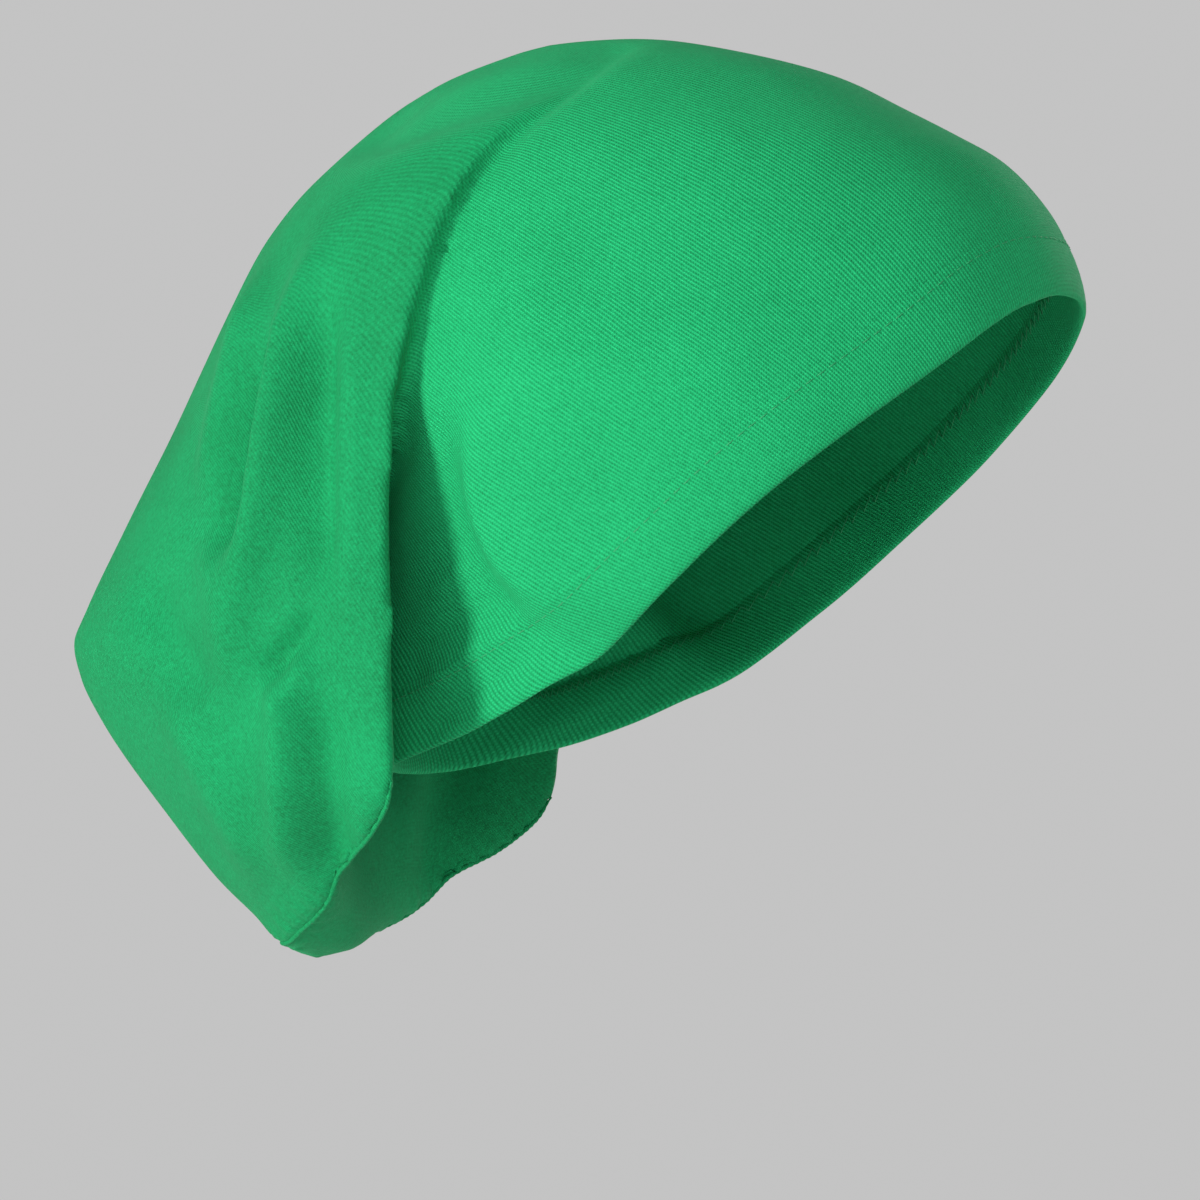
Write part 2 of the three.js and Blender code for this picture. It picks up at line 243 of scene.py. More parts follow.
def bag_half_section(row, steps):
    """Half a bag section from the middle of the front wall, round the edge, to the back."""
    front_length = math.hypot(row["half"], row["edge"] - row["wall"])
    side_length = PANEL_ARC * math.hypot(row["half"], row["edge"] - row["back"])
    length = front_length + side_length

    def sharp(u):
        """Points at lengths u along the section, before its edge is rounded."""
        side = np.sign(u) * np.sign(length - u)
        u = np.where(u > length, 2 * length - u, np.abs(u))
        k = u / front_length
        wall_x = row["wall"] + (row["edge"] - row["wall"]) * k * k
        t = 1 - np.maximum(1 - (u - front_length) / side_length, 0) ** PANEL_CROWD
        t = np.clip(t, 0, 1)
        panel_y = row["half"] * (1 - t ** PANEL_BULGE) ** PANEL_ROUND
        panel_x = row["edge"] + (row["back"] - row["edge"]) * t
        on_wall = u < front_length
        x = np.where(on_wall, wall_x, panel_x)
        y = np.where(on_wall, row["half"] * k, panel_y)
        return np.stack([x, np.where(side < 0, -y, y)], axis=-1)

    soft = min(row["soft"], front_length / 3)
    front, corner, side = steps
    u = np.concatenate([
        np.linspace(0, front_length - soft, front, endpoint=False),
        np.linspace(front_length - soft, front_length + soft, corner, endpoint=False),
        np.linspace(front_length + soft, length, side + 1),
    ])
    return sum(sharp(u + k * soft) for k in EDGE_SAMPLES) / len(EDGE_SAMPLES)


def bag_section(place):
    """A whole bag section as a ring of points."""
    row = {name: float(between(column, np.array(place))) for name, column in BAG.items()}
    sizes = {"half": row["half"] * BAG_WIDTH / 2, "soft": row["soft"] * BAG_CORNER}
    for name in ("edge", "back", "wall"):
        sizes[name] = -row[name] * KNEE_REACH
    left = bag_half_section(sizes, BAG_STEPS)
    right = left[1:-1][::-1] * (1, -1)
    ring = np.concatenate([left, right])
    z = CLOTH_TOP - row["down"] * BAG_DROP
    return np.column_stack([ring, np.full(len(ring), z)])


def loft(rings, top, bottom):
    """Closed mesh through rings listed from top to bottom, with one point at each end."""
    count, sides = len(rings), len(rings[0])
    points = np.concatenate([[top], np.concatenate(rings), [bottom]])

    def at(ring, j):
        return 1 + ring * sides + j % sides

    faces = []
    for j in range(sides):
        faces.append((0, at(0, j), at(0, j + 1)))
        for ring in range(count - 1):
            faces.append((at(ring, j), at(ring + 1, j), at(ring + 1, j + 1), at(ring, j + 1)))
        faces.append((len(points) - 1, at(count - 1, j + 1), at(count - 1, j)))
    return points, faces


def head_form():
    angle = np.arange(HEAD_SIDES) * 2 * math.pi / HEAD_SIDES
    last = len(HEAD_ROWS) - 1
    places = np.arange(1, last * ROW_STEPS + 1) / ROW_STEPS
    rings = [head_point(np.full(HEAD_SIDES, s), angle) for s in places]
    floor = CLOTH_TOP - HEAD["down"][-1] * HEAD_DEPTH
    return loft(rings, (-HEAD["back"][0] * SKULL_REACH, 0, CLOTH_TOP), (0, 0, floor))


def bag_form():
    last = len(BAG_ROWS) - 1
    rings = [bag_section(i / ROW_STEPS) for i in range(1, last * ROW_STEPS)]
    ends = [(-BAG["back"][i] * KNEE_REACH, 0, CLOTH_TOP - BAG["down"][i] * BAG_DROP) for i in (0, -1)]
    return loft(rings, *ends)


def mesh_object(name, points, faces):
    """A smooth-shaded object from points in millimetres."""
    mesh = bpy.data.meshes.new(name)
    mesh.from_pydata((np.asarray(points) * MM).tolist(), [], [list(map(int, f)) for f in faces])
    mesh.validate()
    mesh.update()
    mesh.shade_smooth()
    obj = bpy.data.objects.new(name, mesh)
    bpy.context.scene.collection.objects.link(obj)
    return obj


def apply_modifiers(obj):
    graph = bpy.context.evaluated_depsgraph_get()
    mesh = bpy.data.meshes.new_from_object(obj.evaluated_get(graph))
    old = obj.data
    obj.modifiers.clear()
    obj.data = mesh
    bpy.data.meshes.remove(old)


def arrays_of(obj):
    """Vertices in millimetres and triangles of an object's mesh."""
    mesh = obj.data
    mesh.calc_loop_triangles()
    points = np.empty(len(mesh.vertices) * 3)
    mesh.vertices.foreach_get("co", points)
    triangles = np.empty(len(mesh.loop_triangles) * 3, dtype=int)
    mesh.loop_triangles.foreach_get("vertices", triangles)
    return points.reshape(-1, 3) / MM, triangles.reshape(-1, 3)


def vertex_normals(points, triangles):
    a, b, c = (points[triangles[:, i]] for i in range(3))
    face = np.cross(b - a, c - a)
    normals = np.zeros_like(points)
    for i in range(3):
        np.add.at(normals, triangles[:, i], face)
    return normals / np.maximum(np.linalg.norm(normals, axis=1, keepdims=True), 1e-9)


def hem_distance(x, z):
    """Distance above the hem line in side view, positive on the cap's side."""
    place = np.linspace(0, len(HEM_ROWS) - 1, HEM_LINE_STEPS)
    line_x = between(HEM["x"], place) * FOREHEAD_REACH
    line_z = CLOTH_TOP - between(HEM["down"], place) * HEAD_DEPTH
    flat_x, flat_z = np.ravel(x), np.ravel(z)
    best = np.full(flat_x.shape, np.inf)
    side = np.ones_like(best)
    for i in range(len(place) - 1):
        dx, dz = line_x[i + 1] - line_x[i], line_z[i + 1] - line_z[i]
        t = np.clip(((flat_x - line_x[i]) * dx + (flat_z - line_z[i]) * dz) / (dx * dx + dz * dz), 0, 1)
        away = np.hypot(flat_x - line_x[i] - t * dx, flat_z - line_z[i] - t * dz)
        nearer = away < best
        turn = dz * (flat_x - line_x[i]) - dx * (flat_z - line_z[i])
        side = np.where(nearer, np.where(turn > 0, 1.0, -1.0), side)
        best = np.where(nearer, away, best)
    return (best * side).reshape(np.shape(x))


def clip_mesh(points, triangles, values):
    """The part of a triangle mesh where values are positive, cut exactly along zero."""
    points, values = list(map(tuple, points)), list(values)
    cuts, faces = {}, []

    def cut(i, j):
        key = (min(i, j), max(i, j))
        if key not in cuts:
            t = values[i] / (values[i] - values[j])
            cuts[key] = len(points)
            points.append(tuple(a + t * (b - a) for a, b in zip(points[i], points[j])))
        return cuts[key]

    for triangle in triangles:
        inside = [values[i] > 0 for i in triangle]
        if all(inside):
            faces.append(tuple(triangle))
        elif any(inside):
            loop = []
            for k in range(3):
                i, j = triangle[k], triangle[(k + 1) % 3]
                if values[i] > 0:
                    loop.append(i)
                if (values[i] > 0) != (values[j] > 0):
                    loop.append(cut(i, j))
            faces.append(tuple(loop))
    used = sorted({i for face in faces for i in face})
    index = {old: new for new, old in enumerate(used)}
    return np.array([points[i] for i in used]), [tuple(index[i] for i in face) for face in faces]


def fold_depth(folds, x, z, reach, drop):
    """Sum of soft ridges and valleys along the lines of a fold table, in side view."""
    behind = -x / reach
    down = (CLOTH_TOP - z) / drop
    shape = drop / reach
    depth = np.zeros_like(x)
    for x1, down1, x2, down2, breadth, rise in folds:
        along_x, along_z = x2 - x1, (down2 - down1) * shape
        to_x, to_z = behind - x1, (down - down1) * shape
        length = math.hypot(along_x, along_z)
        k = (to_x * along_x + to_z * along_z) / length ** 2
        away = np.abs(to_x * along_z - to_z * along_x) / length / breadth
        ends = smooth_step(-FOLD_EASE, FOLD_EASE, k) * (1 - smooth_step(1 - FOLD_EASE, 1 + FOLD_EASE, k))
        depth += rise * ends * np.exp(-away ** 2)
    return depth


def sampled_line(points, spacing):
    """A polyline resampled at even spacing, with each point's length along it."""
    points = np.asarray(points, dtype=float)
    steps = np.linalg.norm(np.diff(points, axis=0), axis=1)
    length = np.concatenate([[0], np.cumsum(steps)])
    places = np.linspace(0, length[-1], max(int(length[-1] / spacing), 2))
    return np.column_stack([np.interp(places, length, points[:, k]) for k in range(3)]), places


def nearest_on_line(points, line, places):
    """Distance from each point to a sampled line, and the place along it."""
    away = np.full(len(points), np.inf)
    along = np.zeros(len(points))
    for point, place in zip(line, places):
        distance = np.linalg.norm(points - point, axis=1)
        nearer = distance < away
        away = np.where(nearer, distance, away)
        along = np.where(nearer, place, along)
    return away, along


def seam_line():
    """The end seam: down the bag's edge on the left, round behind its end, and up on the right."""
    corner = BAG_STEPS[0] + BAG_STEPS[1] // 2
    places = np.linspace(SEAM_START_ROW, SEAM_END_ROW, SEAM_ROW_STEPS)
    edge = np.array([bag_section(s)[corner] for s in places])
    end = bag_section(SEAM_END_ROW)[corner + 1:sum(BAG_STEPS)]
    left = np.concatenate([edge, end])
    return np.concatenate([left, left[::-1] * (1, -1, 1)])


def noise_at(points, scale, stretch=(1.0, 1.0, 1.0), offset=0.0):
    """Smooth noise at points in millimetres, with features about one scale wide."""
    factor = np.array(stretch) / scale
    return np.array([noise.noise(Vector(p) + Vector((offset, offset, offset))) for p in points * factor])


# Small drag folds of the head part from below and behind the ear towards the nape's hem, in the same
# columns as the bag's, as shares of FOREHEAD_REACH, HEAD_DEPTH and NAPE_FOLD_RISE
NAPE_FOLDS = (
    (0.36, 0.90, 0.02, 0.80, 0.022, 1.0),
    (0.34, 0.955, 0.05, 0.855, 0.020, -0.7),
    (0.38, 0.85, 0.10, 0.775, 0.020, -0.6),
    (0.30, 0.77, 0.16, 0.73, 0.018, 0.5),
)
NAPE_FOLD_RISE = 1.3

# Slight unevenness of the cloth, drawn out up and down
UNEVEN_RISE = 0.55
UNEVEN_SIZE = 17.0
UNEVEN_STRETCH = (1.0, 1.0, 0.45)
UNEVEN_SHIFT = 3.0

# Puckers beside the end seam, and the groove that the seam lies in
SEAM_PUCKER = 0.45
SEAM_PUCKER_PITCH = 5.6
SEAM_PUCKER_START = 2.5
SEAM_PUCKER_REACH = 8.0
SEAM_PUCKER_WANDER, SEAM_WANDER_SIZE = 2.5, 14.0
SEAM_GROOVE = 0.5
SEAM_GROOVE_WIDTH = 3.0
SEAM_SPACING = 0.8
SEAM_HIGHEST = -150

# Crease where the bag leaves the head part, and how far from it the bag's folds are whole
CREASE_DEPTH = 2.6
CREASE_WIDTH = 2.2
CREASE_CLEAR = 7.0

# Where the crease, and the pocket and the hollow below it, start and are full, as shares of half the
# bag's width
CREASE_TOP, CREASE_FULL = 0.08, 0.35
BESIDE_START, BESIDE_FULL = 0.3, 0.6

# Dark pocket where the head part's cloth sinks behind the bag's edge, and the pleat above it
POCKET_DEPTH = 8.0
POCKET_WIDTH = 5.0
POCKET_TOP, POCKET_FULL = -88.0, -118.0
PLEAT_DEPTH = 2.4
PLEAT_WIDTH = 4.5

# Shallow hollow of the nape between the bag and the raised pad
HOLLOW_DEPTH = 7.5
HOLLOW_WIDTH = 24.0
HOLLOW_TOP, HOLLOW_FULL = -85.0, -135.0

# Smoothing where the bag meets the head part, less at the top than below
EASE_TOP, EASE_FULL = -55.0, -85.0
EASE_ABOVE = 0.4
EASE_REACH = 3.5
EASE_ROUNDS = 6
EASE_STEP = 0.5

# Inner lip of the cloth between the nape and the bag, smoothed more
LIP_TOP, LIP_FULL = -50.0, -70.0
LIP_SIDE, LIP_EDGE = 0.55, 0.85
LIP_REACH = 7.0
LIP_ROUNDS = 30

# Groove of the stitch line, and the distances above it between which the cloth comes to lie exactly
# on the head form
STITCH_GROOVE = 0.08
STITCH_GROOVE_WIDTH = 1.2
CLOSE_START, CLOSE_FULL = 12.0, 4.0

# How much nearer to the head form than to the bag's a point is where the head part's relief starts
# and is full, and how far off the head form the cloth counts as all in the bag
RELIEF_START, RELIEF_FULL = -1.5, 2.5
IN_BAG_REACH = 5.0


def distance_to(tree, points):
    """Each point's distance to a form."""
    return np.array([tree.find_nearest(Vector(p))[3] for p in points])


def fused_cloth():
    """Points and triangles of the head and bag forms fused into one surface, and each form's tree."""
    head = mesh_object("head_form", *head_form())
    bag = mesh_object("bag_form", *bag_form())
    trees = []
    for form in (head, bag):
        points, triangles = arrays_of(form)
        trees.append(BVHTree.FromPolygons(points.tolist(), triangles.tolist()))
    bpy.ops.object.select_all(action="DESELECT")
    head.select_set(True)
    bag.select_set(True)
    bpy.context.view_layer.objects.active = head
    bpy.ops.object.join()
    remesh = head.modifiers.new("fuse", "REMESH")
    remesh.mode = "VOXEL"
    remesh.voxel_size = VOXEL * MM
    remesh.use_smooth_shade = True
    soften = head.modifiers.new("soften", "SMOOTH")
    soften.factor = SOFTEN_FACTOR
    soften.iterations = SOFTEN_ROUNDS
    apply_modifiers(head)
    points, triangles = arrays_of(head)
    bpy.data.objects.remove(head)
    return points, triangles, trees[0], trees[1]


def head_relief(points, from_bag):
    """How far the head part stands out: its drag folds, less the pocket, pleat and hollow by the bag."""
    x, y, z = points.T
    nape = NAPE_FOLD_RISE * fold_depth(NAPE_FOLDS, x, z, FOREHEAD_REACH, HEAD_DEPTH)
    beside = np.abs(y) / (BAG_WIDTH / 2)
    on_side = smooth_step(BESIDE_START, BESIDE_FULL, beside)
    lower = smooth_step(-POCKET_TOP, -POCKET_FULL, -z) * on_side
    pocket = POCKET_DEPTH * lower * np.exp(-(from_bag / POCKET_WIDTH) ** 2)
    upper = PLEAT_DEPTH * smooth_step(CREASE_TOP, CREASE_FULL, beside)
    beyond_pad = 1 - ear_pad_rise(x, z) / EAR_RISE
    hollow = HOLLOW_DEPTH * smooth_step(-HOLLOW_TOP, -HOLLOW_FULL, -z) * on_side
    hollow *= beyond_pad * np.exp(-(from_bag / HOLLOW_WIDTH) ** 2)
    return nape - pocket - hollow - upper * np.exp(-(from_bag / PLEAT_WIDTH) ** 2)


def seam_relief(points):
    """How far the cloth stands out near the end seam: its puckers and its groove."""
    line, places = sampled_line(seam_line(), SEAM_SPACING)
    away, along = nearest_on_line(points, line, places)
    wander = SEAM_PUCKER_WANDER * noise_at(points, SEAM_WANDER_SIZE)
    wave = np.sin(2 * math.pi * along / SEAM_PUCKER_PITCH + wander)
    reach = smooth_step(0, SEAM_PUCKER_START, away) * np.exp(-(away / SEAM_PUCKER_REACH) ** 2)
    return SEAM_PUCKER * wave * reach - SEAM_GROOVE * np.exp(-(away / SEAM_GROOVE_WIDTH) ** 2)


def eased(points, triangles, weight, rounds):
    """Points drawn towards their neighbours' middle, by weight."""
    ends = np.concatenate([triangles[:, [0, 1]], triangles[:, [1, 2]], triangles[:, [2, 0]]])
    ends = np.concatenate([ends, ends[:, ::-1]])
    count = np.bincount(ends[:, 0], minlength=len(points))[:, None]
    for _ in range(rounds):
        total = np.zeros_like(points)
        for k in range(3):
            total[:, k] = np.bincount(ends[:, 0], points[ends[:, 1], k], len(points))
        points = points + EASE_STEP * weight[:, None] * (total / np.maximum(count, 1) - points)
    return points


def cap_cloth():
    """The knit tube above the stitch line with its folds, each point's share in the bag, and the
    bag form's tree."""
    points, triangles, head_tree, bag_tree = fused_cloth()
    from_head, from_bag = distance_to(head_tree, points), distance_to(bag_tree, points)
    on_bag = from_bag < from_head
    above_hem = np.where(on_bag, HEM_WIDTH, hem_distance(points[:, 0], points[:, 2]) - HEM_WIDTH)
    close = smooth_step(-CLOSE_START, -CLOSE_FULL, -above_hem) * ~on_bag
    for i in np.flatnonzero(close > 0):
        spot = np.array(head_tree.find_nearest(Vector(points[i]))[0])
        points[i] += close[i] * (spot - points[i])
    normals = vertex_normals(points, triangles)
    x, y, z = points.T
    beside = np.abs(y) / (BAG_WIDTH / 2)
    off_crease = smooth_step(0.0, CREASE_CLEAR, from_head)
    panel = smooth_step(PANEL_START, PANEL_FULL, beside) * off_crease
    depth = FOLD_RISE * fold_depth(BAG_FOLDS, x, z, KNEE_REACH, BAG_DROP) * panel
    uneven = noise_at(points, UNEVEN_SIZE, UNEVEN_STRETCH, UNEVEN_SHIFT)
    depth += UNEVEN_RISE * uneven * off_crease
    on_head = smooth_step(RELIEF_START, RELIEF_FULL, from_bag - from_head)
    depth += head_relief(points, from_bag) * on_head
    low = z < SEAM_HIGHEST
    depth[low] += seam_relief(points[low])
    from_crease = np.maximum(from_head, from_bag)
    crease = np.exp(-(from_crease / CREASE_WIDTH) ** 2)
    crease *= smooth_step(CREASE_TOP, CREASE_FULL, beside)
    depth -= CREASE_DEPTH * crease
    depth -= STITCH_GROOVE * np.exp(-(above_hem / STITCH_GROOVE_WIDTH) ** 2) * (~on_bag)
    moved = points + normals * depth[:, None]
    in_pocket = np.exp(-(from_crease / EASE_REACH) ** 2)
    in_pocket *= EASE_ABOVE + (1 - EASE_ABOVE) * smooth_step(-EASE_TOP, -EASE_FULL, -z)
    moved = eased(moved, triangles, in_pocket, EASE_ROUNDS)
    on_lip = np.exp(-(from_crease / LIP_REACH) ** 2)
    on_lip *= smooth_step(-LIP_TOP, -LIP_FULL, -z) * (1 - smooth_step(LIP_SIDE, LIP_EDGE, beside))
    moved = eased(moved, triangles, on_lip, LIP_ROUNDS)
    in_bag = smooth_step(0.0, IN_BAG_REACH, from_head)
    marked = np.column_stack([moved, in_bag])
    kept, faces = clip_mesh(marked, triangles, above_hem)
    return kept[:, :3], faces, kept[:, 3], bag_tree


def thickened(obj, thickness):
    solid = obj.modifiers.new("cloth", "SOLIDIFY")
    solid.thickness = thickness * MM
    solid.offset = -1
    solid.use_even_offset = False
    apply_modifiers(obj)
    obj.data.shade_smooth()


def set_in_bag(obj, share):
    """Mark how far each point is in the loose bag, for the cloth's material."""
    attribute = obj.data.attributes.new("in_bag", "FLOAT", "POINT")
    attribute.data.foreach_set("value", np.asarray(share, dtype=np.float32))


def build_cap_body():
    points, faces, in_bag, bag_tree = cap_cloth()
    obj = mesh_object("knit_tube", points, faces)
    set_in_bag(obj, in_bag)
    thickened(obj, CLOTH)
    return obj, bag_tree


# Points round the hem, and where the hem line is looked for: from this head row down, in these steps
HEM_SIDES = 420
HEM_FIRST_ROW = 4
HEM_ROW_STEPS = 160


def hem_grid(distances, sides):
    """Points and outward normals of the head form at distances above the hem line."""
    angle = np.arange(sides) * 2 * math.pi / sides
    places = np.linspace(HEM_FIRST_ROW, len(HEAD_ROWS) - 1, HEM_ROW_STEPS)
    grid_angle, grid_place = np.meshgrid(angle, places, indexing="ij")
    meridians = head_point(grid_place, grid_angle)
    above = hem_distance(meridians[..., 0], meridians[..., 2])
    rows = []
    for distance in distances:
        found = [np.interp(-distance, -above[i], places) for i in range(sides)]
        rows.append(head_point(np.array(found), angle))
    points = np.array(rows)
    round_step = np.roll(points, -1, axis=1) - np.roll(points, 1, axis=1)
    up_step = np.gradient(points, axis=0)
    normals = np.cross(round_step, up_step)
    normals /= np.linalg.norm(normals, axis=-1, keepdims=True)
    return points, normals


# Cross-section of the folded hem, from the stitch line round the edge and back: distance above the
# hem line, and height over the head form
HEM_SECTION = (
    (17.6, -0.60), (17.1, -0.22), (16.7, -0.02), (16.2, 0.06), (15.4, 0.08), (14.4, 0.10),
    (12.6, 0.20), (11.0, 0.27), (8.0, 0.30), (5.0, 0.30), (3.0, 0.26), (1.6, 0.16), (0.7, -0.05),
    (0.15, -0.40), (0.0, -0.80), (0.15, -1.25), (0.7, -1.65), (1.6, -1.90), (3.0, -2.05),
    (6.0, -2.10), (9.0, -2.10), (12.0, -2.05), (14.0, -1.95), (15.1, -1.80), (15.9, -1.55),
    (16.8, -1.25), (17.6, -0.90),
)
# Slight waves of the hem's edge
RIPPLE_RISE = 0.25
RIPPLE_RADIUS = 6
RIPPLE_SHIFT = 7.0


def build_hem_band(bag_tree):
    """The folded hem round the face, from its stitch line over the edge and back inside."""
    distances = [s for s, _ in HEM_SECTION]
    order = sorted(set(distances))
    points, normals = hem_grid(order, HEM_SIDES)
    angle = np.arange(HEM_SIDES) * 2 * math.pi / HEM_SIDES
    circle = zip(RIPPLE_RADIUS * np.cos(angle), RIPPLE_RADIUS * np.sin(angle))
    ripple = np.array([noise.noise(Vector((a, b, RIPPLE_SHIFT))) for a, b in circle])
    rings = []
    for s, height in HEM_SECTION:
        i = order.index(s)
        relief = head_relief(points[i], distance_to(bag_tree, points[i]))
        lift = height + relief + RIPPLE_RISE * ripple * (1 - s / HEM_WIDTH)
        rings.append(points[i] + normals[i] * lift[:, None])
    count, faces = len(rings), []
    for i in range(count):
        for j in range(HEM_SIDES):
            a, b = i * HEM_SIDES, ((i + 1) % count) * HEM_SIDES
            k = (j + 1) % HEM_SIDES
            faces.append((a + j, b + j, b + k, a + k))
    return mesh_object("folded_hem", np.concatenate(rings), faces)


def tube(path, radius, sides, closed):
    """Points and faces of a tube along a path, with flat ends when the path is open."""
    path = np.asarray(path, dtype=float)
    if closed:
        ahead = np.roll(path, -1, axis=0) - np.roll(path, 1, axis=0)
    else:
        ahead = np.gradient(path, axis=0)
    ahead /= np.linalg.norm(ahead, axis=1, keepdims=True)
    guide = np.array((0.0, 0.0, 1.0))
    across = np.cross(ahead, guide)
    across /= np.maximum(np.linalg.norm(across, axis=1, keepdims=True), 1e-6)
    over = np.cross(across, ahead)
    radius = np.broadcast_to(radius, len(path))
    angle = np.arange(sides) * 2 * math.pi / sides
    rings = [path[i] + radius[i] * (np.outer(np.cos(angle), across[i]) + np.outer(np.sin(angle), over[i]))
             for i in range(len(path))]
    faces = []
    for i in range(len(path) if closed else len(path) - 1):
        a, b = i * sides, ((i + 1) % len(path)) * sides
        faces += [(a + j, a + (j + 1) % sides, b + (j + 1) % sides, b + j) for j in range(sides)]
    if not closed:
        faces.append(tuple(range(sides))[::-1])
        faces.append(tuple((len(path) - 1) * sides + j for j in range(sides)))
    return np.concatenate(rings), faces


def joined(parts):
    """Several pieces of points and faces as one."""
    points, faces, start = [], [], 0
    for part_points, part_faces in parts:
        points.append(part_points)
        faces += [tuple(start + i for i in face) for face in part_faces]
        start += len(part_points)
    return np.concatenate(points), faces


STITCH_LENGTH = 2.6
STITCH_GAP = 0.9
STITCH_RADIUS = 0.13
STITCH_SIDES = 6
STITCH_PLACE = 14.6
STITCH_BESIDE = 0.5
STITCH_HEIGHT = 0.1
# One stitch: shares of its length, and heights in millimetres
STITCH_ARCH = ((0, -0.45), (0.12, 0.0), (0.5, 0.14), (0.88, 0.0), (1.0, -0.45))

# Looped row inside the hem: how far above the hem line it swings, the rows between, and its points
LOOP_LOW, LOOP_HIGH = 12.6, 15.4
LOOP_ROWS = 15
LOOP_MIDDLE, LOOP_SWING = 7, 6
LOOP_POINTS = 900
POINTS_PER_LOOP = 4
LOOP_SIDES = 5
HEM_THICKNESS = 2.1


def build_hem_stitches(bag_tree):
    """A row of small stitches outside, and the looped row of the same machine inside."""
    around = [STITCH_PLACE - STITCH_BESIDE, STITCH_PLACE, STITCH_PLACE + STITCH_BESIDE]
    path, normals = (grid[1] for grid in hem_grid(around, HEM_SIDES))
    height = STITCH_HEIGHT + head_relief(path, distance_to(bag_tree, path))
    path = path + normals * height[:, None]
    loop = np.vstack([path, path[:1]])
    loop_normals = np.vstack([normals, normals[:1]])
    steps = np.linalg.norm(np.diff(loop, axis=0), axis=1)
    length = np.concatenate([[0], np.cumsum(steps)])

    def at(values, s):
        """Values of the loop's points at a length along it."""
        return np.array([np.interp(s, length, values[:, k]) for k in range(3)])

    parts = []
    pitch = STITCH_LENGTH + STITCH_GAP
    shares = np.array([share for share, _ in STITCH_ARCH])
    heights = [rise for _, rise in STITCH_ARCH]
    for i in range(int(length[-1] / pitch)):
        spots = i * pitch + shares * STITCH_LENGTH
        arch = [at(loop, s) + d * at(loop_normals, s) for s, d in zip(spots, heights)]
        parts.append(tube(arch, STITCH_RADIUS, STITCH_SIDES, False))
    rows = np.linspace(LOOP_LOW, LOOP_HIGH, LOOP_ROWS)
    inside, inside_normals = hem_grid(rows, LOOP_POINTS)
    sunk = head_relief(inside[LOOP_MIDDLE], distance_to(bag_tree, inside[LOOP_MIDDLE]))
    zigzag = []
    for j in range(LOOP_POINTS):
        swing = LOOP_MIDDLE + LOOP_SWING * math.sin(j * 2 * math.pi / POINTS_PER_LOOP)
        row = int(round(swing))
        zigzag.append(inside[row, j] - inside_normals[row, j] * (HEM_THICKNESS - sunk[j]))
    parts.append(tube(zigzag, STITCH_RADIUS, LOOP_SIDES, True))
    return mesh_object("hem_stitches", *joined(parts))


SEAM_ROLL_RADIUS = 0.75
SEAM_ROLL_WAVE = 0.1
SEAM_ROLL_PITCH = 1.9
SEAM_ROLL_SIDES = 10
SEAM_ROLL_LIFT = 0.1
SEAM_ROLL_SPACING = 0.45
# Thickness of the roll's tips as a share of the rest, and the length over which it grows
SEAM_TIP, SEAM_TAPER = 0.35, 5
# Which way the roll stands out: less to the side and more downwards than from the seam's middle
SEAM_OUT_SIDE, SEAM_OUT_DOWN = 0.6, 12
# Rounds of smoothing after each time the seam's path is laid on the cloth
SEAM_ROUNDS = (120, 60, 30)


def build_end_seam(cloth):
    """The rolled lip of the end seam, lying on the cloth and bound by its thread."""
    points, triangles = arrays_of(cloth)
    surface = BVHTree.FromPolygons(points.tolist(), triangles.tolist())
    line, places = sampled_line(seam_line(), SEAM_ROLL_SPACING)
    for rounds in SEAM_ROUNDS:
        line = np.array([surface.find_nearest(Vector(p))[0] for p in line])
        for _ in range(rounds):
            line[1:-1] = (line[:-2] + 2 * line[1:-1] + line[2:]) / 4
    sections = np.gradient(line, axis=0)
    middle = line.mean(axis=0)
    outward = line - middle
    outward[:, 1] *= SEAM_OUT_SIDE
    outward[:, 2] -= SEAM_OUT_DOWN
    along = np.sum(outward * sections, axis=1, keepdims=True)
    outward -= sections * along / np.sum(sections ** 2, axis=1, keepdims=True)
    outward /= np.linalg.norm(outward, axis=1, keepdims=True)
    wave = SEAM_ROLL_WAVE * np.cos(2 * math.pi * places / SEAM_ROLL_PITCH)
    radius = SEAM_ROLL_RADIUS * (1 - SEAM_ROLL_WAVE + wave)
    taper = np.minimum(places, places[-1] - places)
    radius = radius * (SEAM_TIP + (1 - SEAM_TIP) * smooth_step(0, SEAM_TAPER, taper))
    lifted = line + outward * SEAM_ROLL_LIFT
    obj = mesh_object("end_seam_roll", *tube(lifted, radius, SEAM_ROLL_SIDES, False))
    set_in_bag(obj, np.ones(len(obj.data.vertices)))
    return obj


